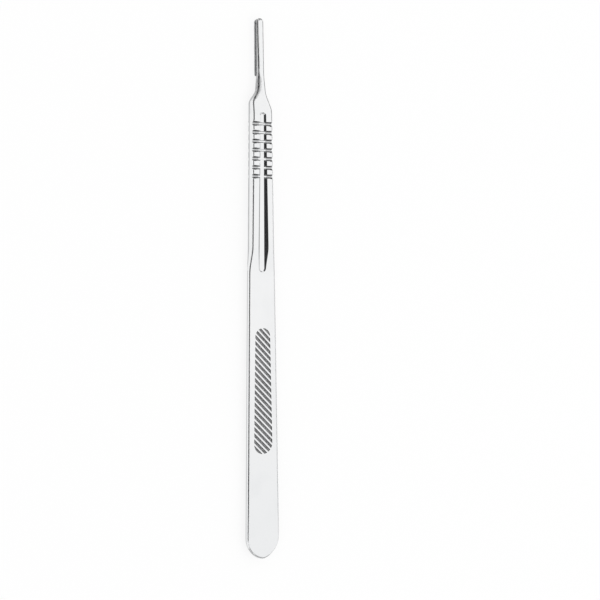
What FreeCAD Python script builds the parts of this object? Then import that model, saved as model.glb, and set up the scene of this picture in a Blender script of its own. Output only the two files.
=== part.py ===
import FreeCAD, Part
import math
import os

import Sketcher

# Long scalpel handle, one forged piece of polished stainless steel.
#
# The long axis runs along Y with the blade fitting at +Y and the rounded butt at -Y, X is the width
# and Z the thickness. The origin lies at the middle of the footprint, on the plane that the handle
# rests on. All sketches are drawn about the mid-plane, and the finished piece is lifted by half its
# thickness. A station is a distance from the tip of the blade fitting, measured along the handle.

DOCUMENT = FreeCAD.newDocument("ScalpelHandle")
UP = FreeCAD.Vector(0, 0, 1)

DRIVING_SIZES = {
    "overall_length": (210.0, "tip of the blade fitting to the end of the butt"),
    "side_draft": (13.5, "lean of each side face, degrees from the mid-plane's normal"),
    "crease_round": (0.35, "rounding along the rims of both faces"),
    "cut_clearance": (1.0, "how far a cutting outline reaches past the blank"),
    # Widths of the body, measured at the mid-plane.
    "shoulder_width": (9.05, "body width where the flare ends"),
    "rail_end_width": (10.55, "body width at the head of the ramp"),
    "plate_start_width": (11.75, "body width at the foot of the ramp"),
    "butt_width": (14.5, "body width at the corner that rounds into the butt"),
    "ramp_plan_round": (40.0, "blend of the side faces past the ramp"),
    # Butt.
    "butt_nose_radius": (3.0, "radius at the very end"),
    "butt_nose_angle": (18.0, "slope of the sides of the nose, degrees"),
    "butt_straight": (0.3, "straight between the side arc and the nose arc"),
    # Thickness along the handle.
    "shoulder_thickness": (4.75, "thickness at the flare, the greatest one"),
    "rail_end_thickness": (4.3, "thickness at the head of the ramp, before the rear fall"),
    "rear_rail_fall": (0.3, "how far the rear rails fall back further at the head of the ramp"),
    "rear_crown": (0.03, "how far the rear face falls back from its middle to the sides of the butt"),
    "plate_thickness": (2.2, "thickness of the gripped plate"),
    "ramp_start": (90.0, "station of the head of the ramp"),
    "ramp_length": (7.6, "length of the ramp"),
    "ramp_round": (25.0, "blend of the ramp into the faces"),
    # Neck and flare.
    "neck_start": (22.0, "station where the neck leaves the fitting"),
    "neck_round": (20.0, "blend of the tongue into the neck"),
    "neck_width": (4.1, "width where the flare begins"),
    "left_flare_start": (28.4, "station where the left flank begins"),
    "left_flare_length": (4.0, "length of the left flank"),
    "right_flare_start": (29.4, "station where the right flank begins"),
    "right_flare_length": (6.0, "length of the right flank"),
    "left_flare_round": (3.0, "blend at both ends of the left flank"),
    "right_flare_round": (6.0, "blend at both ends of the right flank"),
    # Blade fitting.
    "base_width": (2.9, "width of the tongue that the blade lies against"),
    "tip_flat": (0.3, "straight across the tip of the tongue"),
    "tip_height": (0.42, "front of the tongue above the mid-plane at the tip"),
    "neck_height": (1.3, "front of the neck above the mid-plane"),
    "neck_height_station": (24.0, "station where the neck's front starts to rise"),
    "front_rise_end": (37.5, "station where the front reaches full thickness"),
    "front_rise_round": (14.0, "blend of the rising front"),
    "seat_depth": (0.75, "blade seat below the mid-plane"),
    "blade_slot": (0.45, "height of the slot that takes the blade"),
    "lug_width": (3.2, "width of the lug that holds the blade"),
    "lug_neck_width": (2.0, "width of the web between tongue and lug"),
    "lug_neck_setback": (0.6, "web set back from the tip of the lug"),
    "lug_height": (0.7, "thickness of the lug"),
    "lug_length": (21.4, "length of the flat back of the lug"),
    "lug_run_out": (1.6, "length of the slope at the end of the lug"),
    "lug_bevel": (0.22, "bevel round the back of the lug"),
    "seat_left_station": (29.6, "station of the angled shoulder at the left side"),
    "seat_right_station": (34.4, "station of the angled shoulder at the right side"),
    # Channel in both faces.
    "channel_head_station": (38.0, "centre of the round end near the head"),
    "channel_end_station": (97.2, "centre of the round end past the ramp"),
    "channel_head_floor": (1.35, "floor width at the head end"),
    "channel_end_floor": (2.2, "floor width past the ramp"),
    "channel_head_web": (3.25, "metal between the two floors at the head end"),
    "channel_end_web": (1.3, "metal between the two floors past the ramp"),
    "channel_wall_angle": (41.0, "lean of the channel walls, degrees"),
    # Finger notches across both faces.
    "notch_start": (41.25, "station of the first notch"),
    "notch_pitch": (3.39, "distance from notch to notch"),
    "notch_count": (7, "notches on each face"),
    "notch_width": (1.6, "width of a notch, twice the radius of its floor"),
    "notch_depth": (1.1, "depth below the face at the flare"),
    # Hatched grip on both faces.
    "hatch_start": (120.4, "station of the head end of the grip"),
    "hatch_length": (48.8, "length of the grip"),
    "hatch_head_width": (6.6, "width of the grip at its head end"),
    "hatch_butt_width": (8.1, "width of the grip at its butt end"),
    "hatch_pitch": (2.416, "ridge to ridge along the handle"),
    "hatch_count": (22, "ridges that the pattern lays over the grip"),
    "hatch_slant": (45.0, "slope of the ridges, degrees"),
    "hatch_phase": (0.38, "first centre ridge past the head end of the grip"),
    "ridge_width": (0.62, "width of a ridge at the face"),
    "ridge_wall_angle": (25.0, "lean of the ridge walls, degrees"),
    "hatch_depth": (0.28, "depth of the grooves"),
    "hatch_overcut": (0.3, "how far the groove cutters stand above the face"),
}
TOUCH = 0.001


def make_sheet(sizes):
    """Put the driving sizes in a spreadsheet, one aliased cell each."""
    sheet = DOCUMENT.addObject("Spreadsheet::Sheet", "Sizes")
    for row, (alias, (number, meaning)) in enumerate(sizes.items(), start=1):
        sheet.set(f"A{row}", meaning)
        sheet.set(f"B{row}", str(number))
        sheet.setAlias(f"B{row}", alias)
    DOCUMENT.recompute()
    return sheet


SHEET = make_sheet(DRIVING_SIZES)


def spelled(formula):
    """Prefix each alias in a formula with the sheet's name."""
    words = []
    word = ""
    for letter in formula + " ":
        if letter.isalnum() or letter == "_":
            word += letter
            continue
        words.append(f"Sizes.{word}" if word in DRIVING_SIZES else word)
        words.append(letter)
        word = ""
    return "".join(words).strip()


def number_of(formula):
    """Work out a formula of the sheet's sizes."""
    return float(SHEET.evalExpression(spelled(formula)))


def bind(target, path, formula):
    """Bind one property or constraint of an object to a formula of the sheet's sizes."""
    target.setExpression(path, spelled(formula))


def along(station):
    """Formula for the Y of a station."""
    return f"(overall_length / 2 - ({station}))"


def new_body(name):
    """Start a solid of its own."""
    return DOCUMENT.addObject("PartDesign::Body", name)


def origin_part(body, role):
    """Find an axis or plane of a body's own origin by its role."""
    return next(item for item in body.Origin.OriginFeatures if item.Role == role)


def new_sketch(body, name, role, lift="0"):
    """Start a sketch on an origin plane of its own body, lifted along the plane's normal."""
    sketch = body.newObject("Sketcher::SketchObject", name)
    sketch.AttachmentSupport = [(origin_part(body, role), "")]
    sketch.MapMode = "FlatFace"
    bind(sketch, "AttachmentOffset.Base.z", lift)
    DOCUMENT.recompute()
    return sketch


def dimension(sketch, name, kind, references, formula):
    """Add a named dimension to a sketch and bind it to the sheet."""
    constraint = Sketcher.Constraint(kind, *references, number_of(formula))
    index = sketch.addConstraint(constraint)
    sketch.renameConstraint(index, name)
    bind(sketch, f"Constraints.{name}", formula)


def place_point(sketch, name, geometry, position, across, up):
    """Dimension a point from the sketch's origin in both directions."""
    dimension(sketch, f"{name}_across", "DistanceX", (-1, 1, geometry, position), across)
    dimension(sketch, f"{name}_up", "DistanceY", (-1, 1, geometry, position), up)


def corner_arc(before, corner, after, radius):
    """Arc of a rounded corner, with the points where it leaves and joins the two sides."""
    back = (before - corner).normalize()
    ahead = (after - corner).normalize()
    half_angle = back.getAngle(ahead) / 2
    run = radius / math.tan(half_angle)
    leave = corner + back * run
    join = corner + ahead * run
    inward = (back + ahead).normalize()
    centre = corner + inward * (radius / math.sin(half_angle))
    middle = centre - inward * radius
    return leave, middle, join


def rounded_outline(sketch, prefix, corners):
    """Close an outline through dimensioned corners, each (across, up, radius or None)."""
    points = [FreeCAD.Vector(number_of(x), number_of(y), 0) for x, y, _ in corners]
    count = len(points)
    leaves, joins, arcs = [], [], {}
    for index, (_, _, radius) in enumerate(corners):
        if radius is None:
            leaves.append(points[index])
            joins.append(points[index])
            continue
        before, after = points[index - 1], points[(index + 1) % count]
        leave, middle, join = corner_arc(before, points[index], after, number_of(radius))
        leaves.append(leave)
        joins.append(join)
        arcs[index] = Part.Arc(leave, middle, join)
    lines = []
    for index in range(count):
        ends = joins[index], leaves[(index + 1) % count]
        lines.append(sketch.addGeometry(Part.LineSegment(*ends), False))
    for index, (across, up, radius) in enumerate(corners):
        name = f"{prefix}_{index}"
        incoming, outgoing = lines[index - 1], lines[index]
        if radius is None:
            sketch.addConstraint(Sketcher.Constraint("Coincident", incoming, 2, outgoing, 1))
            place_point(sketch, name, outgoing, 1, across, up)
            continue
        arc = sketch.addGeometry(arcs[index], False)
        turns_left = (leaves[index] - points[index]).cross(joins[index] - points[index]).z < 0
        first, last = (1, 2) if turns_left else (2, 1)
        sketch.addConstraint(Sketcher.Constraint("Tangent", incoming, 2, arc, first))
        sketch.addConstraint(Sketcher.Constraint("Tangent", arc, last, outgoing, 1))
        vertex = sketch.addGeometry(Part.Point(points[index]), True)
        sketch.addConstraint(Sketcher.Constraint("PointOnObject", vertex, 1, incoming))
        sketch.addConstraint(Sketcher.Constraint("PointOnObject", vertex, 1, outgoing))
        place_point(sketch, name, vertex, 1, across, up)
        dimension(sketch, f"{name}_radius", "Radius", (arc,), radius)


def tapered_slot(sketch, upper, upper_radius, lower, lower_radius):
    """Outline with two round ends on the sketch's vertical axis and straight tangent sides."""
    top, bottom = number_of(upper), number_of(lower)
    top_radius, bottom_radius = number_of(upper_radius), number_of(lower_radius)
    lean = math.asin((bottom_radius - top_radius) / (top - bottom))
    top_circle = Part.Circle(FreeCAD.Vector(0, top, 0), UP, top_radius)
    bottom_circle = Part.Circle(FreeCAD.Vector(0, bottom, 0), UP, bottom_radius)
    top_arc = sketch.addGeometry(Part.ArcOfCircle(top_circle, lean, math.pi - lean), False)
    turn = math.pi - lean, 2 * math.pi + lean
    bottom_arc = sketch.addGeometry(Part.ArcOfCircle(bottom_circle, *turn), False)
    sides = []
    for start_point, end_point in (
        (top_circle.value(math.pi - lean), bottom_circle.value(math.pi - lean)),
        (bottom_circle.value(lean), top_circle.value(lean)),
    ):
        sides.append(sketch.addGeometry(Part.LineSegment(start_point, end_point), False))
    left, right = sides
    for first, first_end, second, second_end in (
        (top_arc, 2, left, 1),
        (left, 2, bottom_arc, 1),
        (bottom_arc, 2, right, 1),
        (right, 2, top_arc, 1),
    ):
        joint = Sketcher.Constraint("Tangent", first, first_end, second, second_end)
        sketch.addConstraint(joint)
    for name, arc, height, radius in (
        ("upper", top_arc, upper, upper_radius),
        ("lower", bottom_arc, lower, lower_radius),
    ):
        sketch.addConstraint(Sketcher.Constraint("PointOnObject", arc, 3, -2))
        dimension(sketch, f"{name}_centre", "DistanceY", (-1, 1, arc, 3), height)
        dimension(sketch, f"{name}_radius", "Radius", (arc,), radius)


def pad(body, name, sketch, length, other_length=None, taper="0"):
    """Raise a sketch along its normal, and the other way too where a second length is given."""
    feature = body.newObject("PartDesign::Pad", name)
    feature.Profile = sketch
    bind(feature, "Length", length)
    bind(feature, "TaperAngle", taper)
    if other_length is not None:
        feature.SideType = "Two sides"
        bind(feature, "Length2", other_length)
        bind(feature, "TaperAngle2", taper)
    return settle(body, feature)


def pocket(body, name, sketch, length, both_sides=False, towards_normal=False, taper="0", way=None):
    """Cut a sketch into the solid, along its normal or another way, and check that metal is gone."""
    volume_before = body.Tip.Shape.Volume
    feature = body.newObject("PartDesign::Pocket", name)
    feature.Profile = sketch
    feature.Reversed = towards_normal
    if both_sides:
        feature.SideType = "Symmetric"
    if way is not None:
        across, rise = way
        feature.UseCustomVector = True
        feature.AlongSketchNormal = True
        feature.Direction = FreeCAD.Vector(across, 0, number_of(rise))
        bind(feature, "Direction.z", rise)
    bind(feature, "Length", length)
    bind(feature, "TaperAngle", taper)
    settle(body, feature)
    if feature.Shape.Volume >= volume_before:
        raise RuntimeError(f"{name} cuts nothing")
    return feature


def settle(body, feature):
    """Make a feature the body's tip, work it out and stop where it has failed."""
    body.Tip = feature
    DOCUMENT.recompute()
    if "Invalid" in feature.State or feature.Shape.isNull():
        raise RuntimeError(f"{feature.Name} has failed")
    return feature


def mirror_to_rear(body, name, feature):
    """Repeat a feature on the other face of the handle."""
    mirrored = body.newObject("PartDesign::Mirrored", name)
    mirrored.Originals = [feature]
    mirrored.MirrorPlane = (origin_part(body, "XY_Plane"), [""])
    return settle(body, mirrored)


def repeat_along(body, name, feature, pitch, count):
    """Repeat a feature towards the butt at a fixed pitch."""
    row = body.newObject("PartDesign::LinearPattern", name)
    row.Originals = [feature]
    row.Direction = (origin_part(body, "Y_Axis"), [""])
    row.Reversed = True
    row.Mode = "Spacing"
    bind(row, "Offset", pitch)
    bind(row, "Occurrences", count)
    return settle(body, row)


def face_normal_at(face, point):
    """Normal of a face at the point of it that lies nearest to a given one."""
    return face.normalAt(*face.Surface.parameter(point))


def rim_edges(shape, wanted):
    """Names of the edges between a broad face and a side face that a test on the middle admits."""
    names = []
    broad_slope = math.cos(math.radians(30))
    for number, edge in enumerate(shape.Edges, start=1):
        first, last = edge.ParameterRange
        middle = edge.valueAt((first + last) / 2)
        steepness = []
        for face in shape.ancestorsOfType(edge, Part.Face):
            steepness.append(abs(face_normal_at(face, middle).z))
        is_rim = len(steepness) == 2 and max(steepness) > broad_slope > min(steepness)
        if is_rim and wanted(middle):
            names.append(f"Edge{number}")
    return names


def model_blank(body):
    """Plan outline from tip to butt, with sides that lean in from the mid-plane both ways."""
    plan = new_sketch(body, "BodyPlan", "XY_Plane")
    butt_corner = "butt_width / 2"
    nose_rise = "butt_nose_radius * (1 / cos(butt_nose_angle) - 1)"
    apex = f"-overall_length / 2 - {nose_rise}"
    butt_level = f"{apex} + butt_width / 2 * tan(butt_nose_angle)"
    slope_length = "butt_width / 2 / cos(butt_nose_angle)"
    nose_run = "butt_nose_radius * tan(butt_nose_angle)"
    side_turn = "tan(45 - butt_nose_angle / 2)"
    side_radius = f"({slope_length} - {nose_run} - butt_straight) / {side_turn}"
    ramp_end = "ramp_start + ramp_length"
    left_end = "left_flare_start + left_flare_length"
    right_end = "right_flare_start + right_flare_length"
    tip_radius = "(base_width - tip_flat) / 2"
    corners = [
        ("-base_width / 2", along("0"), tip_radius),
        ("-base_width / 2", along("neck_start"), "neck_round"),
        ("-neck_width / 2", along("left_flare_start"), "left_flare_round"),
        ("-shoulder_width / 2", along(left_end), "left_flare_round"),
        ("-rail_end_width / 2", along("ramp_start"), "ramp_plan_round"),
        ("-plate_start_width / 2", along(ramp_end), "ramp_plan_round"),
        (f"-({butt_corner})", butt_level, side_radius),
        ("0", apex, "butt_nose_radius"),
        (butt_corner, butt_level, side_radius),
        ("plate_start_width / 2", along(ramp_end), "ramp_plan_round"),
        ("rail_end_width / 2", along("ramp_start"), "ramp_plan_round"),
        ("shoulder_width / 2", along(right_end), "right_flare_round"),
        ("neck_width / 2", along("right_flare_start"), "right_flare_round"),
        ("base_width / 2", along("neck_start"), "neck_round"),
        ("base_width / 2", along("0"), tip_radius),
    ]
    rounded_outline(plan, "plan", corners)
    reach = "shoulder_thickness / 2"
    return pad(body, "BodyBlank", plan, reach, reach, taper="-side_draft")


def grip_corners(side, rail_fall="0"):
    """Corners of a face from the end of the flare to past the butt, on one side of the mid-plane."""
    butt = along("overall_length + cut_clearance")
    outside = "shoulder_thickness / 2 + cut_clearance"
    return [
        (along("ramp_start"), f"{side} * (rail_end_thickness / 2 - {rail_fall})", "ramp_round"),
        (along("ramp_start + ramp_length"), f"{side} * plate_thickness / 2", "ramp_round"),
        (butt, f"{side} * plate_thickness / 2", None),
        (butt, f"{side} * ({outside})", None),
    ]


def model_front(body):
    """Front face: tongue and neck rising to the rails, the ramp and the flat plate."""
    profile = new_sketch(body, "FrontProfile", "YZ_Plane")
    head = along("-cut_clearance")
    rise = "(neck_height - tip_height) / neck_height_station"
    corners = [
        (head, "shoulder_thickness / 2 + cut_clearance", None),
        (head, f"tip_height - ({rise}) * cut_clearance", None),
        (along("neck_height_station"), "neck_height", "front_rise_round"),
        (along("front_rise_end"), "shoulder_thickness / 2", "front_rise_round"),
        *grip_corners(1),
    ]
    rounded_outline(profile, "front", corners)
    return pocket(body, "FrontRelief", profile, "2 * butt_width", both_sides=True)


def model_rear(body):
    """Rear face: slightly crowned from the flare on, with the blade seat cut in under the tongue."""
    profile = new_sketch(body, "RearProfile", "YZ_Plane")
    head = along("-cut_clearance")
    corners = [
        (head, "-shoulder_thickness / 2 - cut_clearance", None),
        (head, "-shoulder_thickness / 2", None),
        (along("front_rise_end"), "-shoulder_thickness / 2", None),
        *grip_corners(-1, "rear_rail_fall"),
    ]
    rounded_outline(profile, "rear", corners)
    crown_slope = "2 * rear_crown / butt_width"
    pocket(body, "RightRearRelief", profile, "butt_width", way=(1, crown_slope))
    pocket(body, "LeftRearRelief", profile, "butt_width", way=(-1, crown_slope))

    seat = new_sketch(body, "SeatPlan", "XY_Plane", lift="-seat_depth")
    reach = "shoulder_width / 2 + cut_clearance"
    shoulder_slope = "(seat_right_station - seat_left_station) / shoulder_width"
    overrun = f"({shoulder_slope}) * cut_clearance"
    corners = [
        (f"-({reach})", along("-cut_clearance"), None),
        (f"-({reach})", along(f"seat_left_station - {overrun}"), None),
        (reach, along(f"seat_right_station + {overrun}"), None),
        (reach, along("-cut_clearance"), None),
    ]
    rounded_outline(seat, "seat", corners)
    return pocket(body, "BladeSeat", seat, "shoulder_thickness")


def tongue_outline(sketch, width, tip, root):
    """Tongue of a given width, with a half-round end at the tip station and a square root."""
    half_width = f"{width} / 2"
    radius = number_of(half_width)
    centre_height = number_of(along(f"{tip} + {half_width}"))
    root_height = number_of(along(root))
    circle = Part.Circle(FreeCAD.Vector(0, centre_height, 0), UP, radius)
    arc = sketch.addGeometry(Part.ArcOfCircle(circle, 0, math.pi), False)
    left_root = FreeCAD.Vector(-radius, root_height, 0)
    right_root = FreeCAD.Vector(radius, root_height, 0)
    left = sketch.addGeometry(Part.LineSegment(circle.value(math.pi), left_root), False)
    across = sketch.addGeometry(Part.LineSegment(left_root, right_root), False)
    right = sketch.addGeometry(Part.LineSegment(right_root, circle.value(0)), False)
    sketch.addConstraint(Sketcher.Constraint("Tangent", arc, 2, left, 1))
    sketch.addConstraint(Sketcher.Constraint("Tangent", right, 2, arc, 1))
    sketch.addConstraint(Sketcher.Constraint("Coincident", left, 2, across, 1))
    sketch.addConstraint(Sketcher.Constraint("Coincident", across, 2, right, 1))
    sketch.addConstraint(Sketcher.Constraint("Vertical", left))
    sketch.addConstraint(Sketcher.Constraint("Horizontal", across))
    sketch.addConstraint(Sketcher.Constraint("PointOnObject", arc, 3, -2))
    dimension(sketch, "radius", "Radius", (arc,), half_width)
    dimension(sketch, "centre", "DistanceY", (-1, 1, arc, 3), along(f"{tip} + {half_width}"))
    dimension(sketch, "root", "DistanceY", (-1, 1, across, 1), along(root))


def model_lug(body):
    """Lug behind the tongue, joined to it by a narrower web so that a blade slides in between."""
    web = new_sketch(body, "WebPlan", "XY_Plane", lift="-seat_depth - blade_slot")
    tongue_outline(web, "lug_neck_width", "lug_neck_setback", "lug_length + lug_run_out")
    pad(body, "LugWeb", web, "blade_slot")

    lug_back = "seat_depth + blade_slot + lug_height"
    plan = new_sketch(body, "LugPlan", "XY_Plane", lift=f"-({lug_back})")
    tongue_outline(plan, "lug_width", "0", "lug_length + lug_run_out")
    lug = pad(body, "Lug", plan, "lug_height")
    level = -number_of(lug_back)

    bevel = body.newObject("PartDesign::Chamfer", "LugBevel")
    edges = []
    for number, edge in enumerate(lug.Shape.Edges, start=1):
        box = edge.BoundBox
        lies_at_back = abs(box.ZMin - level) < TOUCH and abs(box.ZMax - level) < TOUCH
        if lies_at_back:
            edges.append(f"Edge{number}")
    bevel.Base = (lug, edges)
    bind(bevel, "Size", "lug_bevel")
    settle(body, bevel)

    profile = new_sketch(body, "RunOutProfile", "YZ_Plane")
    run_out_end = "lug_length + lug_run_out"
    below = f"-({lug_back}) - cut_clearance"
    corners = [
        (along("lug_length"), f"-({lug_back})", None),
        (along("lug_length"), below, None),
        (along(run_out_end), below, None),
        (along(run_out_end), "-seat_depth", None),
    ]
    rounded_outline(profile, "run", corners)
    return pocket(body, "LugRunOut", profile, "2 * lug_width", both_sides=True)


def model_creases(body):
    """Rounded rims round both faces."""
    base = body.Tip
    crease = body.newObject("PartDesign::Fillet", "Creases")
    seat_end = number_of(along("seat_left_station - cut_clearance"))
    seat_level = -number_of("seat_depth")

    def is_rim(point):
        return point.z > 0 or (point.y < seat_end and point.z < seat_level - TOUCH)

    crease.Base = (base, rim_edges(base.Shape, is_rim))
    bind(crease, "Radius", "crease_round")
    return settle(body, crease)


def model_channel(body):
    """Channel with leaning walls and round ends, deeper towards the ramp, in both faces."""
    head_level = "channel_head_web / 2"
    fall = "(channel_head_web - channel_end_web) / 2"
    run = "(channel_end_station - channel_head_station)"
    tilt = f"atan({fall} / {run})"
    floor = new_sketch(body, "ChannelFloor", "XY_Plane", lift=head_level)
    tilted = FreeCAD.Rotation(FreeCAD.Vector(1, 0, 0), number_of(tilt))
    floor.AttachmentOffset = FreeCAD.Placement(FreeCAD.Vector(), tilted)
    bind(floor, "AttachmentOffset.Base.y", along("channel_head_station"))
    bind(floor, "AttachmentOffset.Rotation.Angle", tilt)
    DOCUMENT.recompute()
    length = f"-sqrt(({fall}) ^ 2 + {run} ^ 2)"
    tapered_slot(floor, "0", "channel_head_floor / 2", length, "channel_end_floor / 2")
    height = "shoulder_thickness / 2"
    cut = pocket(body, "Channel", floor, height, towards_normal=True, taper="channel_wall_angle")
    return mirror_to_rear(body, "ChannelRear", cut)


def model_notches(body):
    """Row of round-bottomed notches across both faces."""
    profile = new_sketch(body, "NotchProfile", "YZ_Plane")
    radius = number_of("notch_width / 2")
    middle = number_of(along("notch_start"))
    floor_centre = "shoulder_thickness / 2 - notch_depth + notch_width / 2"
    top = "shoulder_thickness / 2 + cut_clearance"
    for side, name in ((1, "front"), (-1, "rear")):
        centre = FreeCAD.Vector(middle, side * number_of(floor_centre), 0)
        circle = Part.Circle(centre, UP, radius)
        start, stop = (math.pi, 2 * math.pi) if side > 0 else (0, math.pi)
        arc = profile.addGeometry(Part.ArcOfCircle(circle, start, stop), False)
        first, last = circle.value(stop), circle.value(start)
        upper = side * number_of(top)
        near = FreeCAD.Vector(first.x, upper, 0)
        far = FreeCAD.Vector(last.x, upper, 0)
        rising = profile.addGeometry(Part.LineSegment(first, near), False)
        across = profile.addGeometry(Part.LineSegment(near, far), False)
        falling = profile.addGeometry(Part.LineSegment(far, last), False)
        for kind, references in (
            ("Tangent", (arc, 2, rising, 1)),
            ("Coincident", (rising, 2, across, 1)),
            ("Coincident", (across, 2, falling, 1)),
            ("Tangent", (falling, 2, arc, 1)),
            ("Vertical", (rising,)),
            ("Horizontal", (across,)),
        ):
            profile.addConstraint(Sketcher.Constraint(kind, *references))
        dimension(profile, f"{name}_radius", "Radius", (arc,), "notch_width / 2")
        place_point(profile, f"{name}_centre", arc, 3, along("notch_start"), f"{side} * ({floor_centre})")
        dimension(profile, f"{name}_top", "DistanceY", (-1, 1, across, 1), f"{side} * ({top})")
    notch = pocket(body, "Notch", profile, "2 * butt_width", both_sides=True)
    return repeat_along(body, "Notches", notch, "notch_pitch", "notch_count")


def model_hatch_cutter(name):
    """Solid of all the grooves of one hatched grip: a tapered slot with the ridges taken out."""
    body = new_body(name)
    floor_level = "plate_thickness / 2 - hatch_depth"
    height = "hatch_depth + hatch_overcut"
    outline = new_sketch(body, f"{name}Outline", "XY_Plane", lift=floor_level)
    head_radius = "hatch_head_width / 2"
    butt_radius = "hatch_butt_width / 2"
    head_centre = along(f"hatch_start + {head_radius}")
    butt_centre = along(f"hatch_start + hatch_length - {butt_radius}")
    tapered_slot(outline, head_centre, head_radius, butt_centre, butt_radius)
    pad(body, f"{name}Block", outline, height)

    ridge = new_sketch(body, f"{name}RidgePlan", "XY_Plane", lift=floor_level)
    reach = "hatch_butt_width / 2 + cut_clearance"
    half_foot = "(ridge_width / 2 + hatch_depth * tan(ridge_wall_angle)) / cos(hatch_slant)"
    rise = f"({reach}) * tan(hatch_slant)"
    first = "hatch_start + hatch_phase"
    corners = [
        (f"-({reach})", along(f"{first} - {rise} + {half_foot}"), None),
        (reach, along(f"{first} + {rise} + {half_foot}"), None),
        (reach, along(f"{first} + {rise} - {half_foot}"), None),
        (f"-({reach})", along(f"{first} - {rise} - {half_foot}"), None),
    ]
    rounded_outline(ridge, "ridge", corners)
    bar = pocket(body, f"{name}Ridge", ridge, height, towards_normal=True, taper="-ridge_wall_angle")
    repeat_along(body, f"{name}Ridges", bar, "hatch_pitch", "hatch_count")
    return body


def check_states():
    """Stop where any object of the document has failed."""
    for item in DOCUMENT.Objects:
        troubles = {"Invalid", "Error"} & set(item.State)
        if troubles:
            raise RuntimeError(f"{item.Name} is {', '.join(sorted(troubles))}")


def lift_to_rest(item):
    """Stand an item, modelled about the mid-plane, on the plane that the handle rests on."""
    bind(item, "Placement.Base.z", "shoulder_thickness / 2")


def model_handle():
    """Whole handle: the body with its features, less the grooves of both hatched grips."""
    body = new_body("HandleBody")
    model_blank(body)
    model_front(body)
    model_rear(body)
    model_creases(body)
    model_lug(body)
    model_channel(body)
    model_notches(body)
    lift_to_rest(body)

    front_grooves = model_hatch_cutter("FrontHatch")
    rear_grooves = model_hatch_cutter("RearHatch")
    half_turn = FreeCAD.Rotation(FreeCAD.Vector(0, 1, 0), 180)
    rear_grooves.Placement = FreeCAD.Placement(FreeCAD.Vector(), half_turn)
    grooves = DOCUMENT.addObject("Part::Compound", "HatchGrooves")
    grooves.Links = [front_grooves, rear_grooves]
    for cutter in grooves.Links:
        lift_to_rest(cutter)

    finished = DOCUMENT.addObject("Part::Cut", "ScalpelHandle")
    finished.Base = body
    finished.Tool = grooves
    finished.Label = "scalpel_handle"
    DOCUMENT.recompute()
    return finished


def write_part(item):
    """Check a finished piece and write it under its label."""
    shape = item.Shape
    if shape.isNull() or not shape.isValid() or len(shape.Solids) != 1:
        raise RuntimeError(f"{item.Label} is not one sound solid")
    os.makedirs("parts", exist_ok=True)
    shape.exportStep(f"parts/{item.Label}.step")


scalpel_handle = model_handle()
check_states()
write_part(scalpel_handle)
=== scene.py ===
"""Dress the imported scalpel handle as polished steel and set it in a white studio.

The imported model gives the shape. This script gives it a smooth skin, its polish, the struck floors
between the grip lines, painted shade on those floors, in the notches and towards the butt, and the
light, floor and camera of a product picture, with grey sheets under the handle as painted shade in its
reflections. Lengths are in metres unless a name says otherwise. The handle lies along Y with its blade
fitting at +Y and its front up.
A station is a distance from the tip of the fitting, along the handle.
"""

import logging
import math
from collections.abc import Mapping
from dataclasses import dataclass
from enum import Enum
from functools import cached_property

import bmesh
import bpy
from mathutils import Matrix, Vector

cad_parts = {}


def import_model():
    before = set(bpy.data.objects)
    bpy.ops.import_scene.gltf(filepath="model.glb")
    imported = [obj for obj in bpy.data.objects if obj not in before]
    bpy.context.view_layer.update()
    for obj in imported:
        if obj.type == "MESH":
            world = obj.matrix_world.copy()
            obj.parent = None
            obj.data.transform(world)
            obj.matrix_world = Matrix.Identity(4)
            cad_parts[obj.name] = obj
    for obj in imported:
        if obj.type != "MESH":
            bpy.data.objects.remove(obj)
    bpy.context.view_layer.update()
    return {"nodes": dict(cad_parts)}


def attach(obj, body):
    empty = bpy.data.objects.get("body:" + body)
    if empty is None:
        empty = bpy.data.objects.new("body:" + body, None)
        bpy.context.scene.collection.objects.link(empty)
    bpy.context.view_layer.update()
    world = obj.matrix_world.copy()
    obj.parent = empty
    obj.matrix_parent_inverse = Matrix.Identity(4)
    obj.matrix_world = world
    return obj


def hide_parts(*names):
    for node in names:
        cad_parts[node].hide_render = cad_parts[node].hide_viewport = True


LOG = logging.getLogger("scalpel_handle_scene")

NODE = "scalpel_handle"
BODY = "root"

MM = 0.001
HANDLE_LENGTH = 210 * MM
TIP_Y = HANDLE_LENGTH / 2
MID_PLANE_Z = 2.375 * MM
PLATE_HALF_THICKNESS = 1.1 * MM
SEAT_DEPTH = 0.75 * MM
LUG_END = 23 * MM
RAIL_START = 37.5 * MM
RAIL_HALF_THICKNESS = 2.375 * MM
RAIL_SLOPE = 0.0043
SHOULDER_WIDTH = 9.05 * MM
SIDE_SPREAD = 0.0167
CREASE_ROUND = 0.35 * MM
BUTT_STATION = 195 * MM
CHANNEL_HALF_WIDTH = 1.3 * MM
CHANNEL_SPREAD = 0.02
NOTCH_MIDDLE = 51.42 * MM
NOTCH_REACH = 11.5 * MM
HATCH_START = 120.4 * MM
HATCH_LENGTH = 48.8 * MM
HATCH_HALF_WIDTH = 4.2 * MM
HATCH_DEPTH = 0.28 * MM

Colour = tuple[float, float, float]
Span = tuple[float, float]
Stops = tuple[tuple[float, Colour], ...]

WHITE: Colour = (1.0, 1.0, 1.0)


class Polish(Enum):
    """Which way the fine lines of a polish run, as the pattern's scale along X, Y and Z."""

    LENGTHWISE = (1.0, 0.012, 1.0)
    ALL_ROUND = (1.0, 1.0, 1.0)


class Cloth(Enum):
    """The cloths of the flags round the handle, by the light that they give back."""

    DARK = (0.024, 0.024, 0.025)
    SMOKE = (0.075, 0.075, 0.077)
    GREY = (0.3, 0.3, 0.302)
    # Painted shade: only the sheets under the handle use this grey, standing for the floor in the
    # handle's shade.
    PEARL = (0.5, 0.5, 0.502)


class Run(Enum):
    """The way a flag's folds run: along the handle or across it."""

    ALONG = "along"
    ACROSS = "across"


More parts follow.
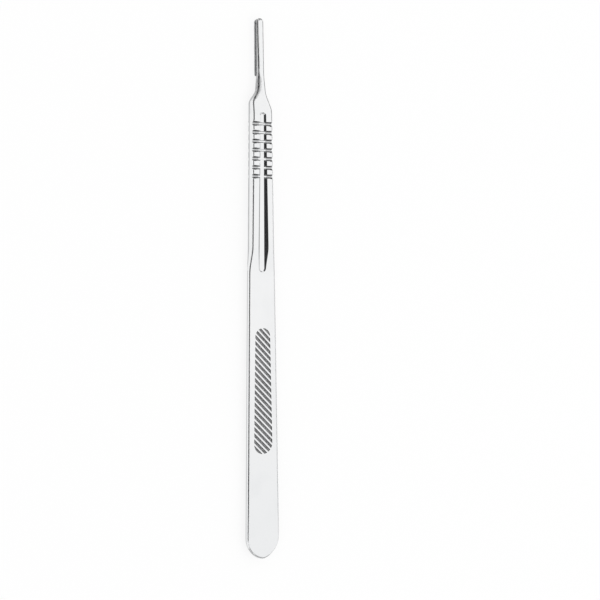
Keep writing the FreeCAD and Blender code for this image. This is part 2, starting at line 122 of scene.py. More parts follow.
class Field:
    """One output socket of a node tree. Arithmetic on it adds Math nodes to the tree."""

    def __init__(self, tree: "Tree", socket: bpy.types.NodeSocket) -> None:
        """Wrap a socket of the tree."""
        self.tree = tree
        self.socket = socket

    def __add__(self, other: "Number") -> "Field":
        """Add a number or another field."""
        return self.tree.math("ADD", self, other)

    def __radd__(self, other: "Number") -> "Field":
        """Add this field to a number."""
        return self.tree.math("ADD", other, self)

    def __sub__(self, other: "Number") -> "Field":
        """Take a number or another field away."""
        return self.tree.math("SUBTRACT", self, other)

    def __rsub__(self, other: "Number") -> "Field":
        """Take this field from a number."""
        return self.tree.math("SUBTRACT", other, self)

    def __mul__(self, other: "Number") -> "Field":
        """Multiply by a number or another field."""
        return self.tree.math("MULTIPLY", self, other)

    def __rmul__(self, other: "Number") -> "Field":
        """Multiply a number by this field."""
        return self.tree.math("MULTIPLY", other, self)

    def __abs__(self) -> "Field":
        """Drop the sign."""
        return self.tree.math("ABSOLUTE", self)

    def below(self, limit: "Number") -> "Field":
        """Give 1 where this field is less than the limit, and 0 elsewhere."""
        return self.tree.math("LESS_THAN", self, limit)

    def above(self, limit: "Number") -> "Field":
        """Give 1 where this field is more than the limit, and 0 elsewhere."""
        return self.tree.math("GREATER_THAN", self, limit)

    def greater_of(self, other: "Number") -> "Field":
        """Take the larger of this field and another."""
        return self.tree.math("MAXIMUM", self, other)

    def rise(self, start: float, end: float) -> "Field":
        """Rise smoothly from 0 at start to 1 at end.

        Args:
            start: Value of this field at which the result leaves 0.
            end: Value of this field at which the result reaches 1.

        Returns:
            The smoothed field.
        """
        return self.tree.field(
            "ShaderNodeMapRange",
            {"interpolation_type": "SMOOTHSTEP"},
            {"Value": self, "From Min": start, "From Max": end, "To Min": 0.0, "To Max": 1.0},
        )


Number = float | Field
Value = object


class Tree:
    """A node tree that is written as calls and expressions."""

    def __init__(self, tree: bpy.types.NodeTree) -> None:
        """Wrap a node tree and empty it."""
        self.nodes = tree.nodes
        self.links = tree.links
        self.nodes.clear()

    def node(
        self,
        kind: str,
        settings: Mapping[str, Value] | None = None,
        inputs: Mapping[str | int, Value] | None = None,
    ) -> bpy.types.Node:
        """Add a node, set it and fill its sockets.

        Args:
            kind: Blender's name for the node's type.
            settings: The node's properties, set first. "stops" holds a ramp's positions and colours.
            inputs: Values, fields or sockets for the node's inputs, by name or number.

        Returns:
            The new node.
        """
        made = self.nodes.new(kind)
        for name, value in (settings or {}).items():
            if name == "stops":
                self._set_stops(made.color_ramp, value)
            else:
                setattr(made, name, value)
        for name, value in (inputs or {}).items():
            self._fill(made.inputs[name], value)
        return made

    def field(
        self,
        kind: str,
        settings: Mapping[str, Value] | None = None,
        inputs: Mapping[str | int, Value] | None = None,
        output: str | int = 0,
    ) -> Field:
        """Add a node and wrap one of its outputs.

        Args:
            kind: Blender's name for the node's type.
            settings: The node's properties.
            inputs: What its input sockets get.
            output: Name or number of the output that is wanted.

        Returns:
            The output as a field.
        """
        return Field(self, self.node(kind, settings, inputs).outputs[output])

    def axes(self, vector: Field) -> tuple[Field, Field, Field]:
        """Split a vector.

        Args:
            vector: The vector.

        Returns:
            Its parts along X, Y and Z.
        """
        parts = self.node("ShaderNodeSeparateXYZ", None, {"Vector": vector})
        return tuple(Field(self, socket) for socket in parts.outputs)

    def math(self, operation: str, first: Number, second: Number | None = None) -> Field:
        """Add one Math node.

        Args:
            operation: The node's operation.
            first: First value or field.
            second: Second value or field, where the operation has one.

        Returns:
            The result.
        """
        inputs = {0: first} if second is None else {0: first, 1: second}
        return self.field("ShaderNodeMath", {"operation": operation}, inputs)

    def blend(self, share: Number, first: Value, second: Value) -> Field:
        """Mix two colours.

        Args:
            share: How much of the second colour there is, from 0 to 1.
            first: The first colour, as a field or red, green and blue.
            second: The second colour.

        Returns:
            The mixed colour.
        """
        made = self.node("ShaderNodeMix", {"data_type": "RGBA"})
        self._fill(made.inputs["Factor"], share)
        colour_inputs = [socket for socket in made.inputs if socket.type == "RGBA"]
        self._fill(colour_inputs[0], first)
        self._fill(colour_inputs[1], second)
        colour_outputs = [socket for socket in made.outputs if socket.type == "RGBA"]
        return Field(self, colour_outputs[0])

    def _fill(self, socket: bpy.types.NodeSocket, value: Value) -> None:
        """Link a field or socket to an input, or set a plain value on it."""
        if isinstance(value, Field):
            self.links.new(value.socket, socket)
        elif isinstance(value, bpy.types.NodeSocket):
            self.links.new(value, socket)
        elif socket.type == "RGBA":
            socket.default_value = (*value, 1.0)
        else:
            socket.default_value = value

    @staticmethod
    def _set_stops(ramp: bpy.types.ColorRamp, stops: Stops) -> None:
        """Give a colour ramp its stops."""
        while len(ramp.elements) > 1:
            ramp.elements.remove(ramp.elements[-1])
        for index, (position, colour) in enumerate(stops):
            stop = ramp.elements[0] if index == 0 else ramp.elements.new(position)
            stop.position = position
            stop.color = (*colour, 1.0)


def material_tree(name: str) -> tuple[bpy.types.Material, Tree, Field]:
    """Make a material with a node tree that holds nothing but the object coordinates.

    Args:
        name: The material's name.

    Returns:
        The material, its tree and the object coordinates.
    """
    material = bpy.data.materials.new(name)
    material.use_nodes = True
    tree = Tree(material.node_tree)
    return material, tree, tree.field("ShaderNodeTexCoord", output="Object")


@dataclass(frozen=True)
class Noise:
    """A noise pattern on an object's own coordinates.

    Attributes:
        scale: Cells per metre.
        detail: How many finer layers are laid on top.
        roughness: How strong the finer layers are.
        lay: How the pattern is drawn out.
    """

    scale: float
    detail: float = 2.0
    roughness: float = 0.5
    lay: Polish = Polish.ALL_ROUND

    def field(self, tree: Tree, place: Field) -> Field:
        """Add the pattern to a tree.

        Args:
            tree: The material's tree.
            place: The object coordinates.

        Returns:
            The noise, from 0 to 1.
        """
        drawn = tree.field("ShaderNodeMapping", None, {"Vector": place, "Scale": self.lay.value})
        return tree.field(
            "ShaderNodeTexNoise",
            None,
            {
                "Vector": drawn,
                "Scale": self.scale,
                "Detail": self.detail,
                "Roughness": self.roughness,
            },
        )


class HandleMap:
    """Tells from a position which feature of the handle it lies on, in any node tree.

    Its masks are 1 on the feature and 0 elsewhere.
    """

    HATCH_MARGIN = 1.0 * MM
    FLOOR_SPAN: Span = (0.06 * HATCH_DEPTH, 0.3 * HATCH_DEPTH)
    NOTCH_SPAN: Span = (0.12 * MM, 0.4 * MM)
    NOTCH_FLOOR_SPAN: Span = (0.8 * MM, 1.0 * MM)
    LUG_MARGIN = 0.01 * MM

    def __init__(self, tree: Tree, place: Field) -> None:
        """Take the position apart.

        Args:
            tree: The node tree.
            place: The position in it.
        """
        self.across, along, up = tree.axes(place)
        self.station = TIP_Y - along
        self.height = up - MID_PLANE_Z

    @cached_property
    def hatch_depth(self) -> Field:
        """Give the depth below the plate's front or rear face."""
        return PLATE_HALF_THICKNESS - abs(self.height)

    @cached_property
    def in_hatch(self) -> Field:
        """Mask the block that holds the grip lines, from front to rear."""
        middle = HATCH_START + HATCH_LENGTH / 2
        near = abs(self.station - middle).below(HATCH_LENGTH / 2 + self.HATCH_MARGIN)
        return near * abs(self.across).below(HATCH_HALF_WIDTH)

    @cached_property
    def floors(self) -> Field:
        """Mask the floors between the grip lines, front and rear."""
        return self.hatch_depth.rise(*self.FLOOR_SPAN) * self.in_hatch

    @cached_property
    def half_width(self) -> Field:
        """Give the handle's half width behind the flare."""
        return 0.5 * SHOULDER_WIDTH + (self.station - RAIL_START) * SIDE_SPREAD

    @cached_property
    def rail_depth(self) -> Field:
        """Give the depth below the rails' front or rear face."""
        face = RAIL_HALF_THICKNESS - (self.station - RAIL_START) * RAIL_SLOPE
        return face - abs(self.height)

    @cached_property
    def near_notches(self) -> Field:
        """Mask the stretch of the handle that has the finger notches."""
        return abs(self.station - NOTCH_MIDDLE).below(NOTCH_REACH)

    @cached_property
    def notches(self) -> Field:
        """Mask the inside of the finger notches, on the rails only."""
        channel = CHANNEL_HALF_WIDTH + (self.station - RAIL_START) * CHANNEL_SPREAD
        side_start = 0.5 * SHOULDER_WIDTH - CREASE_ROUND
        on_rail = abs(self.across).above(channel) * abs(self.across).below(side_start)
        return self.rail_depth.rise(*self.NOTCH_SPAN) * self.near_notches * on_rail

    @cached_property
    def notch_floors(self) -> Field:
        """Mask what lies as deep as the floors of the finger notches."""
        return self.rail_depth.rise(*self.NOTCH_FLOOR_SPAN)

    @cached_property
    def lug(self) -> Field:
        """Mask the lug and its slot."""
        return self.height.below(self.LUG_MARGIN - SEAT_DEPTH) * self.station.below(LUG_END)


@dataclass(frozen=True)
class PolishedSteel:
    """Bright polished stainless steel with struck floors between the grip lines, whose dark colour is a
    random speckle with painted shade of the recess under it.

    The polishing wheel hardly reaches the notches, so they are rougher, and their walls and floors are
    painted darker as shade. The steel is painted darker towards the butt as shade too, and the lug is
    left satin.
    """

    colour: Colour = (0.885, 0.89, 0.895)
    haze: Noise = Noise(90.0, detail=4.0, roughness=0.55)
    haze_span: Span = (0.42, 0.78)
    # Both the random haze and the painted shade towards the butt go to this colour.
    haze_and_painted_shade_colour: Colour = (0.80, 0.81, 0.82)
    haze_share: float = 0.35
    # Painted shade: the steel's colour darkens towards the butt.
    butt_painted_shade: float = 0.5
    butt_painted_shade_start: float = 0.5 * HANDLE_LENGTH
    roughness: float = 0.075
    haze_roughness: float = 0.042
    line_roughness: float = 0.028
    lines: Noise = Noise(7000.0, detail=3.0, roughness=0.55, lay=Polish.LENGTHWISE)
    line_height: float = 0.0000022
    ripple: Noise = Noise(160.0, detail=1.0, roughness=0.55)
    ripple_height: float = 0.000006
    speckle: Noise = Noise(4200.0, detail=2.0, roughness=0.55)
    # Painted shade of the recessed floors between the grip lines, laid on a random speckle.
    floor_painted_shade_stops: Stops = (
        (0.38, (0.10, 0.10, 0.105)),
        (0.52, (0.22, 0.222, 0.225)),
        (0.66, (0.50, 0.505, 0.51)),
    )
    floor_roughness: float = 0.42
    floor_grain_span: Span = (0.38, 0.66)
    floor_grain_height: float = 0.00002
    # Painted shade: the notch walls and floors are coloured darker than the steel.
    notch_wall_painted_shade: Colour = (0.20, 0.202, 0.205)
    notch_floor_painted_shade: Colour = (0.60, 0.605, 0.61)
    notch_roughness: float = 0.34
    lug_roughness: float = 0.6
    edge_round: float = 0.85 * MM
    edge_height_span: Span = (0.2 * MM, 0.9 * MM)
    edge_reach_span: Span = (-2.0 * MM, -1.5 * MM)
    edge_samples: int = 8
    tongue_edge_round: float = 0.6 * MM
    flare_edge_round: float = 2.4 * MM
    flare_start: float = 20 * MM
    flare_full: float = 25 * MM
    flare_fade: float = 31 * MM
    flare_end: float = 33 * MM
    land_sharpness: float = 0.4
    notch_sharp_span: Span = (0.3 * MM, 0.6 * MM)

    def material(self) -> bpy.types.Material:
        """Build the material.

        Returns:
            The finished material.
        """
        made, tree, place = material_tree("polished_steel")
        here = HandleMap(tree, place)
        hazy = self.haze.field(tree, place).rise(*self.haze_span)
        lines = self.lines.field(tree, place)
        speckle = self.speckle.field(tree, place)
        ripple = self.ripple.field(tree, place)
        relief = self.line_height * lines + self.ripple_height * ripple
        grains = self.floor_grain_height * speckle.rise(*self.floor_grain_span)
        relief = relief * (1 - here.floors) + grains * here.floors
        rounded = tree.field(
            "ShaderNodeBevel", {"samples": self.edge_samples}, {"Radius": self._edge_radius(here)}
        )
        normal = tree.field(
            "ShaderNodeBump",
            None,
            {"Strength": 1.0, "Distance": 1.0, "Height": relief, "Normal": rounded},
        )
        shader = tree.field(
            "ShaderNodeBsdfPrincipled",
            None,
            {
                "Base Color": self._base_colour(tree, here, hazy, speckle),
                "Metallic": 1.0,
                "Roughness": self._roughness(here, hazy, lines),
                "Normal": normal,
            },
        )
        tree.node("ShaderNodeOutputMaterial", None, {"Surface": shader})
        return made

    def _base_colour(self, tree: Tree, here: HandleMap, hazy: Field, speckle: Field) -> Field:
        """Colour the steel, darker towards the butt as painted shade, and paint shade into the notches
        and onto the struck floors.

        Args:
            tree: The material's tree.
            here: The handle's features.
            hazy: Where the polish is hazy.
            speckle: The speckle of the struck floors.

        Returns:
            The colour.
        """
        # Painted shade: the colour grows darker towards the butt.
        to_butt = here.station.rise(self.butt_painted_shade_start, HANDLE_LENGTH)
        haze_and_painted_shade = hazy * self.haze_share + to_butt * self.butt_painted_shade
        steel = tree.blend(haze_and_painted_shade, self.colour, self.haze_and_painted_shade_colour)
        # Painted shade in the notches: walls darkest, floors a little lighter.
        notch_painted_shade = tree.blend(here.notch_floors, self.notch_wall_painted_shade, self.notch_floor_painted_shade)
        steel = tree.blend(here.notches, steel, notch_painted_shade)
        # Painted shade: the recessed floors get dark colours over a random speckle.
        struck = tree.field("ShaderNodeValToRGB", {"stops": self.floor_painted_shade_stops}, {"Fac": speckle})
        return tree.blend(here.floors, steel, struck)

    def _roughness(self, here: HandleMap, hazy: Field, lines: Field) -> Field:
        """Give the polish's roughness, and that of the notches, the lug and the struck floors.

        Args:
            here: The handle's features.
            hazy: Where the polish is hazy.
            lines: The fine lines of the polish.

        Returns:
            The roughness.
        """
        rough = self.roughness + (self.haze_roughness * hazy + self.line_roughness * lines)
        for feature, feature_roughness in (
            (here.notches, self.notch_roughness),
            (here.lug, self.lug_roughness),
            (here.floors, self.floor_roughness),
        ):
            rough = rough * (1 - feature) + feature_roughness * feature
        return rough

    def _edge_radius(self, here: HandleMap) -> Field:
        """Give how far the front's outer edges are worn round, which is most at the left of the flare.

        Args:
            here: The handle's features.

        Returns:
            The radius in metres, 0 on the rear half and in the channel, the notches and the grip.
        """
        on_flare = here.station.rise(self.flare_start, self.flare_full)
        on_flare = on_flare * (1 - here.station.rise(self.flare_fade, self.flare_end))
        on_tongue = here.station.below(self.flare_start)
        extra = self.flare_edge_round * on_flare + self.tongue_edge_round * on_tongue
        radius = self.edge_round + extra * here.across.below(0.0)
        outer = (abs(here.across) - here.half_width).rise(*self.edge_reach_span)
        outer = outer.greater_of(here.station.above(BUTT_STATION))
        on_body = here.height.rise(*self.edge_height_span) * outer
        on_neck = here.station.below(RAIL_START) * here.height.above(0.0)
        sunk = here.rail_depth.rise(*self.notch_sharp_span)
        sharp = here.near_notches * (self.land_sharpness + (1 - self.land_sharpness) * sunk)
        return radius * on_body.greater_of(on_neck) * (1 - sharp)


@dataclass(frozen=True)
class StruckSteel:
    """The raised grains of the struck floors: the same steel, a little duller."""

    colour: Colour = (0.74, 0.745, 0.75)
    darkest: float = 0.55
    roughness: float = 0.3
    roughness_spread: float = 0.2
    tint: Noise = Noise(900.0)

    def material(self) -> bpy.types.Material:
        """Build the material.

        Returns:
            The finished material.
        """
        made, tree, place = material_tree("struck_steel")
        tint = self.tint.field(tree, place)
        darker = tuple(self.darkest * channel for channel in self.colour)
        shader = tree.field(
            "ShaderNodeBsdfPrincipled",
            None,
            {
                "Base Color": tree.blend(tint, darker, self.colour),
                "Metallic": 1.0,
                "Roughness": self.roughness + self.roughness_spread * tint,
            },
        )
        tree.node("ShaderNodeOutputMaterial", None, {"Surface": shader})
        return made


@dataclass(frozen=True)
class WhiteFloor:
    """A white studio floor that keeps a soft shadow."""

    colour: Colour = (0.93, 0.93, 0.93)
    seen_glow: float = 0.8
    mirrored_glow: float = 0.7
    mottle: float = 0.01
    paper: Noise = Noise(400.0)

    def material(self) -> bpy.types.Material:
        """Build the material.

        Returns:
            The finished material.
        """
        made, tree, place = material_tree("white_floor")
        darker = tuple(channel * (1 - self.mottle) for channel in self.colour)
        tint = tree.blend(self.paper.field(tree, place), darker, self.colour)
        path = tree.node("ShaderNodeLightPath")
        camera = Field(tree, path.outputs["Is Camera Ray"])
        glossy = Field(tree, path.outputs["Is Glossy Ray"])
        through = Field(tree, path.outputs["Is Transmission Ray"])
        seen = (camera * self.seen_glow).greater_of(glossy.greater_of(through) * self.mirrored_glow)
        matt = tree.field("ShaderNodeBsdfDiffuse", None, {"Color": tint})
        glow = tree.field("ShaderNodeEmission", None, {"Color": WHITE, "Strength": 1.0})
        surface = tree.field("ShaderNodeMixShader", None, {0: seen, 1: matt, 2: glow})
        tree.node("ShaderNodeOutputMaterial", None, {"Surface": surface})
        return made


@dataclass(frozen=True)
class FlagCloth:
    """The cloth of the flags that give polished edges their dark lines."""

    cloth: Cloth
    lightest: float = 1.3
    weave: Noise = Noise(300.0)

    def material(self) -> bpy.types.Material:
        """Build the material.

        Returns:
            The finished material.
        """
        made, tree, place = material_tree(f"{self.cloth.name.lower()}_flag_cloth")
        lighter = tuple(self.lightest * channel for channel in self.cloth.value)
        colour = tree.blend(self.weave.field(tree, place), self.cloth.value, lighter)
        shader = tree.field("ShaderNodeEmission", None, {"Color": colour})
        tree.node("ShaderNodeOutputMaterial", None, {"Surface": shader})
        return made


@dataclass
class Handle:
    """The handle's skin and the grains struck into its grip."""

    merge_distance: float = 0.0000008
    flat_angle_deg: float = 0.2
    sharp_angle_deg: float = 22.0
    grain_radius: float = 0.075 * MM
    grain_flatness: float = 0.45
    smallest_grain: float = 0.6
    largest_grain: float = 1.25
    grains_per_square_metre: float = 12_000_000.0
    grain_seed: int = 7
    floor_depth_span: Span = (0.9 * HATCH_DEPTH, 1.1 * HATCH_DEPTH)
    floor_least_level: float = 0.95

    def build(self, source: bpy.types.Object) -> tuple[bpy.types.Object, bpy.types.Object]:
        """Make both pieces.

        Args:
            source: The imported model's object.

        Returns:
            The skin and the grains.
        """
        skin = self._skin(source)
        return skin, self._grains(skin)

    def _skin(self, source: bpy.types.Object) -> bpy.types.Object:
        """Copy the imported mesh, join its triangles and smooth its rounds.

        Args:
            source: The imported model's object.

        Returns:
            The dressed skin.
        """
        mesh = source.data.copy()
        mesh.name = "handle_skin"
        work = bmesh.new()
        work.from_mesh(mesh)
        bmesh.ops.remove_doubles(work, verts=work.verts, dist=self.merge_distance)
        work.normal_update()
        work.to_mesh(mesh)
        normals = self._corner_normals(work)
        work.free()
        mesh.materials.clear()
        mesh.materials.append(PolishedSteel().material())
        mesh.shade_smooth()
        mesh.normals_split_custom_set(normals)
        skin = bpy.data.objects.new("handle_skin", mesh)
        bpy.context.scene.collection.objects.link(skin)
        return skin

    def _corner_normals(self, work: bmesh.types.BMesh) -> list[Vector]:
        """Work out normals that keep flat faces flat and run the small rounds into them.

        Args:
            work: The skin's mesh.

        Returns:
            One normal for each corner of each face, in order.
        """
        weights = self._flat_areas(work)
        least_cosine = math.cos(math.radians(self.sharp_angle_deg))
        normals = []
        for face in work.faces:
            for corner in face.loops:
                total = Vector((0.0, 0.0, 0.0))
                for near in corner.vert.link_faces:
                    if near.normal.dot(face.normal) > least_cosine:
                        total += weights[near.index] * near.normal
                normals.append(total.normalized())
        return normals

    def _flat_areas(self, work: bmesh.types.BMesh) -> list[float]:
        """Give each triangle the area of the whole flat face that it is part of.

        Args:
            work: The skin's mesh.

        Returns:
            The areas, by the triangle's number.
        """
        work.faces.index_update()
        least_cosine = math.cos(math.radians(self.flat_angle_deg))
        areas = [0.0] * len(work.faces)
        seen = set()
        for first in work.faces:
            if first.index in seen:
                continue
            seen.add(first.index)
            patch = [first]
            for face in patch:
                for near in (near for edge in face.edges for near in edge.link_faces):
                    if near.index not in seen and near.normal.dot(first.normal) > least_cosine:
                        seen.add(near.index)
                        patch.append(near)
            total = sum(face.calc_area() for face in patch)
            for face in patch:
                areas[face.index] = total
        return areas

    def _grains(self, skin: bpy.types.Object) -> bpy.types.Object:
        """Scatter fine grains on the floors between the grip lines.

        Args:
            skin: The finished skin, which the grains stand on.

        Returns:
            The grains as one mesh.
        """
        carrier = bpy.data.objects.new("struck_grains", skin.data.copy())
        bpy.context.scene.collection.objects.link(carrier)
        strike = carrier.modifiers.new("Strike grains", "NODES")
        strike.node_group = self._grain_group()
        sizes = {
            "Grain radius": self.grain_radius,
            "Grain flatness": self.grain_flatness,
            "Grains per square metre": self.grains_per_square_metre,
            "Seed": self.grain_seed,
        }
        for item in strike.node_group.interface.items_tree:
            if item.in_out == "INPUT" and item.name in sizes:
                strike[item.identifier] = sizes[item.name]
        return self._plain_copy(carrier, "struck_grains")

    def _grain_group(self) -> bpy.types.NodeTree:
        """Build the node group that turns a skin into the grains on its struck floors.

        Returns:
            The group. Its inputs are the skin, the grains' sizes, their number and the seed.
        """
        group = bpy.data.node_groups.new("Struck grains", "GeometryNodeTree")
        tree = Tree(group)
        for name, kind in (
            ("Geometry", "NodeSocketGeometry"),
            ("Grain radius", "NodeSocketFloat"),
            ("Grain flatness", "NodeSocketFloat"),
            ("Grains per square metre", "NodeSocketFloat"),
            ("Seed", "NodeSocketInt"),
        ):
            group.interface.new_socket(name, in_out="INPUT", socket_type=kind)
        group.interface.new_socket("Geometry", in_out="OUTPUT", socket_type="NodeSocketGeometry")
        given = tree.node("NodeGroupInput")
        scattered = tree.node(
            "GeometryNodeDistributePointsOnFaces",
            {"distribute_method": "RANDOM"},
            {
                "Mesh": given.outputs["Geometry"],
                "Selection": self._floor_selection(tree),
                "Density": given.outputs["Grains per square metre"],
                "Seed": given.outputs["Seed"],
            },
        )
        radius = Field(tree, given.outputs["Grain radius"])
        flatness = Field(tree, given.outputs["Grain flatness"])
        size = tree.field(
            "FunctionNodeRandomValue",
            {"data_type": "FLOAT"},
            {2: self.smallest_grain, 3: self.largest_grain, "Seed": given.outputs["Seed"]},
            output=1,
        )
        flat = tree.field("ShaderNodeCombineXYZ", None, {"X": size, "Y": size, "Z": size * flatness})
        grain = tree.node("GeometryNodeMeshIcoSphere", None, {"Radius": radius, "Subdivisions": 1})
        placed = tree.node(
            "GeometryNodeInstanceOnPoints",
            None,
            {
                "Points": scattered.outputs["Points"],
                "Instance": grain.outputs["Mesh"],
                "Rotation": scattered.outputs["Rotation"],
                "Scale": flat,
            },
        )
        solid = tree.node(
            "GeometryNodeRealizeInstances", None, {"Geometry": placed.outputs["Instances"]}
        )
        dressed = tree.node(
            "GeometryNodeSetMaterial",
            None,
            {"Geometry": solid.outputs["Geometry"], "Material": StruckSteel().material()},
        )
        tree.node("NodeGroupOutput", None, {"Geometry": dressed.outputs["Geometry"]})
        return group

    def _floor_selection(self, tree: Tree) -> Field:
        """Pick the level faces that lie at the depth of the grip's floors.

        Args:
            tree: The node group's tree.

        Returns:
            1 on those faces and 0 elsewhere.
        """
        here = HandleMap(tree, tree.field("GeometryNodeInputPosition"))
        _across, _along, level = tree.axes(tree.field("GeometryNodeInputNormal"))
        least_depth, most_depth = self.floor_depth_span
        sunk = here.hatch_depth.above(least_depth) * here.hatch_depth.below(most_depth)
        return here.in_hatch * sunk * abs(level).above(self.floor_least_level)

    @staticmethod
    def _plain_copy(shaped: bpy.types.Object, name: str) -> bpy.types.Object:
        """Turn an object with modifiers into a plain mesh object.

        Args:
            shaped: The object with its modifiers. It is removed.
            name: Name of the new object.

        Returns:
            The new object, with no modifiers.
        """
        bpy.context.view_layer.update()
        evaluated = shaped.evaluated_get(bpy.context.evaluated_depsgraph_get())
        mesh = bpy.data.meshes.new_from_object(evaluated)
        bpy.data.objects.remove(shaped)
        plain = bpy.data.objects.new(name, mesh)
        bpy.context.scene.collection.objects.link(plain)
        return plain


@dataclass(frozen=True)
class Flag:
    """One flag, which only polished steel sees.

    Attributes:
        name: Its name.
        cloth: What it is made of.
        run: Which way its folds run.
        fold: Its folds, by their distance from the middle and their height.
        start: Where the folds start, along their run.
        end: Where they end.
    """

    name: str
    cloth: Cloth
    run: Run
    fold: tuple[Span, ...]
    start: float
    end: float


@dataclass
class Studio:
    """The floor, the flags, the lamp and the white surroundings."""

    floor_half_size: float = 3.0
    world_level: float = 1.0
    lamp_size: float = 0.7
    lamp_distance: float = 1.3
    lamp_lean_deg: float = 28.0
    lamp_watts: float = 1.2
    flag_lift: float = 0.0006
    flags: tuple[Flag, ...] = (
        # Painted shade: these two grey sheets under the handle show, in reflections only, the floor in
        # the handle's own shade.
        Flag("painted_shade_under_grip", Cloth.PEARL, Run.ALONG, ((-0.0078, 0.0), (0.0078, 0.0)), -0.11, 0.007),
        Flag("painted_shade_under_neck", Cloth.PEARL, Run.ALONG, ((-0.0057, 0.0), (0.0057, 0.0)), 0.007, 0.1065),
        Flag("past_tip", Cloth.DARK, Run.ALONG, ((-0.002, 0.0), (0.0085, 0.0)), 0.1065, 0.13),
        Flag("left_floor", Cloth.DARK, Run.ALONG, ((-0.02, 0.0), (-0.6, 0.0)), -0.4, 0.4),
        Flag("left_low", Cloth.GREY, Run.ALONG, ((-0.6, 0.0), (-0.6, 0.2)), -0.4, 0.15),
        Flag("left_low_head", Cloth.DARK, Run.ALONG, ((-0.6, 0.0), (-0.6, 0.2)), 0.15, 0.8),
        Flag("left_high", Cloth.DARK, Run.ALONG, ((-0.6, 0.2), (-0.6, 1.2), (-0.12, 1.2)), -0.4, 0.8),
        Flag("right_near", Cloth.DARK, Run.ALONG, ((0.0085, 0.0), (0.02, 0.0)), 0.06, 0.13),
        Flag("right_floor", Cloth.DARK, Run.ALONG, ((0.02, 0.0), (1.0, 0.0)), -0.4, 0.5),
        Flag("right_low", Cloth.DARK, Run.ALONG, ((1.0, 0.0), (1.0, 0.6)), 0.15, 0.6),
        Flag("right_high", Cloth.GREY, Run.ALONG, ((1.0, 0.4), (1.0, 0.9)), -0.4, 0.15),
        Flag("head_left", Cloth.DARK, Run.ACROSS, ((0.8, 0.0), (0.8, 1.6)), -0.6, -0.2),
        Flag("head", Cloth.SMOKE, Run.ACROSS, ((1.0, 0.0), (1.0, 1.3)), 0.1, 1.2),
        Flag("foot", Cloth.GREY, Run.ACROSS, ((-1.0, 0.0), (-1.0, 1.3)), -0.1, 1.0),
        Flag("foot_left", Cloth.GREY, Run.ACROSS, ((-1.0, 0.0), (-1.0, 1.3)), -0.75, -0.2),
    )

    def build(self) -> None:
        """Make the floor, the flags, the lamp and the world."""
        self._floor()
        cloths = {cloth: FlagCloth(cloth).material() for cloth in Cloth}
        for flag in self.flags:
            stood = self._flag(flag, cloths[flag.cloth])
            stood.visible_camera = False
            stood.visible_diffuse = False
            stood.visible_shadow = False
        self._lamp()
        self._world()

    def _floor(self) -> bpy.types.Object:
        """Lay the floor.

        Returns:
            The floor.
        """
        reach = self.floor_half_size
        corners = [(-reach, -reach, 0.0), (reach, -reach, 0.0), (reach, reach, 0.0), (-reach, reach, 0.0)]
        return self._sheet("studio_floor", corners, [(0, 1, 2, 3)], WhiteFloor().material())

    def _flag(self, flag: Flag, material: bpy.types.Material) -> bpy.types.Object:
        """Fold one flag.

        Args:
            flag: Its folds and ends.
            material: What it is made of.

        Returns:
            The flag.
        """
        corners = []
        for outward, height in flag.fold:
            for reach in (flag.start, flag.end):
                place = (outward, reach) if flag.run is Run.ALONG else (reach, outward)
                corners.append((*place, height + self.flag_lift))
        faces = [(2 * n, 2 * n + 1, 2 * n + 3, 2 * n + 2) for n in range(len(flag.fold) - 1)]
        return self._sheet(f"flag_{flag.name}", corners, faces, material)

    @staticmethod
    def _sheet(
        name: str,
        corners: list[tuple[float, float, float]],
        faces: list[tuple[int, ...]],
        material: bpy.types.Material,
    ) -> bpy.types.Object:
        """Make one flat or folded sheet.

        Args:
            name: The object's name.
            corners: The corners.
            faces: The corners of each face, by number.
            material: What the sheet is made of.

        Returns:
            The sheet.
        """
        mesh = bpy.data.meshes.new(name)
        mesh.from_pydata(corners, [], faces)
        mesh.materials.append(material)
        sheet = bpy.data.objects.new(name, mesh)
        bpy.context.scene.collection.objects.link(sheet)
        return sheet

    def _lamp(self) -> None:
        """Hang one soft lamp over the handle, leaning to its right."""
        light = bpy.data.lights.new("soft_lamp", "AREA")
        light.shape = "SQUARE"
        light.size = self.lamp_size
        light.energy = self.lamp_watts
        lamp = bpy.data.objects.new("soft_lamp", light)
        lean = math.radians(self.lamp_lean_deg)
        toward = Vector((math.sin(lean), 0.0, math.cos(lean)))
        lamp.location = self.lamp_distance * toward
        lamp.rotation_euler = toward.to_track_quat("Z", "Y").to_euler()
        lamp.visible_glossy = False
        bpy.context.scene.collection.objects.link(lamp)

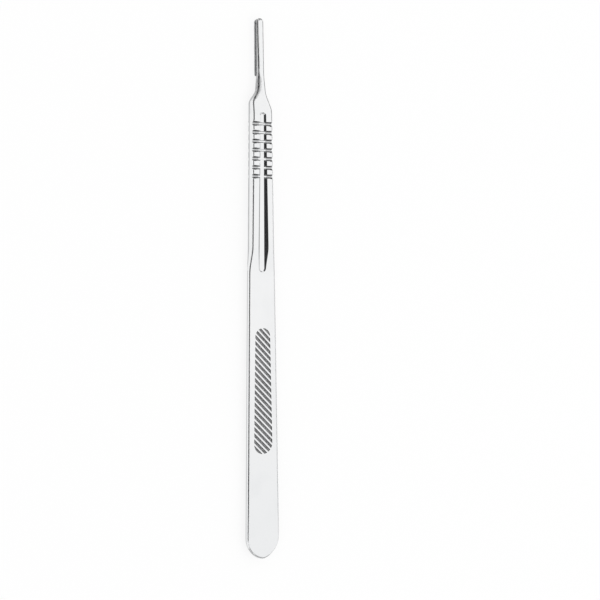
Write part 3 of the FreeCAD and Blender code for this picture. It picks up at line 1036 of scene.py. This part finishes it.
    def _world(self) -> None:
        """Surround the scene with plain white."""
        world = bpy.data.worlds.new("white_surroundings")
        world.use_nodes = True
        tree = Tree(world.node_tree)
        surround = tree.field(
            "ShaderNodeBackground", None, {"Color": WHITE, "Strength": self.world_level}
        )
        tree.node("ShaderNodeOutputWorld", None, {"Surface": surround})
        bpy.context.scene.world = world


@dataclass
class Camera:
    """The photograph's point of view, from the left above the handle."""

    image_pixels: float = 600.0
    sensor_mm: float = 36.0
    focal_pixels: float = 1033.0
    aim: tuple[float, float, float] = (0.0, 13.3 * MM, MID_PLANE_Z)
    distance: float = 402 * MM
    lean_deg: float = 30.0
    aim_pixel_x: float = 260.9
    aim_pixel_y: float = 254.0
    roll_deg: float = 0.3
    clip_start: float = 0.01
    clip_end: float = 20.0

    def build(self) -> None:
        """Make the camera and look through it."""
        data = bpy.data.cameras.new("photograph_camera")
        data.sensor_width = self.sensor_mm
        data.lens = self.focal_pixels * self.sensor_mm / self.image_pixels
        middle = self.image_pixels / 2
        data.shift_y = (self.aim_pixel_y - middle) / self.image_pixels
        data.clip_start = self.clip_start
        data.clip_end = self.clip_end
        camera = bpy.data.objects.new("photograph_camera", data)
        lean = math.radians(self.lean_deg)
        eye = Vector(self.aim) + self.distance * Vector((-math.sin(lean), 0.0, math.cos(lean)))
        turned = lean + math.atan((middle - self.aim_pixel_x) / self.focal_pixels)
        right = Vector((math.cos(turned), 0.0, math.sin(turned)))
        up = Vector((0.0, 1.0, 0.0))
        back = right.cross(up)
        axes = Matrix((right, up, back)).transposed()
        roll = Matrix.Rotation(math.radians(-self.roll_deg), 3, "Z")
        camera.matrix_world = Matrix.Translation(eye) @ (axes @ roll).to_4x4()
        bpy.context.scene.collection.objects.link(camera)
        bpy.context.scene.camera = camera


def main() -> None:
    """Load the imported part, dress it, and set the studio and the camera."""
    logging.basicConfig(level=logging.INFO, format="%(message)s")
    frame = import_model()
    bpy.context.scene.view_settings.view_transform = "Standard"
    Camera().build()
    skin, grains = Handle().build(frame["nodes"][NODE])
    for piece in (skin, grains):
        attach(piece, BODY)
        LOG.info("%s: %d faces", piece.name, len(piece.data.polygons))
    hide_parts(NODE)
    Studio().build()


if __name__ == "__main__":
    main()
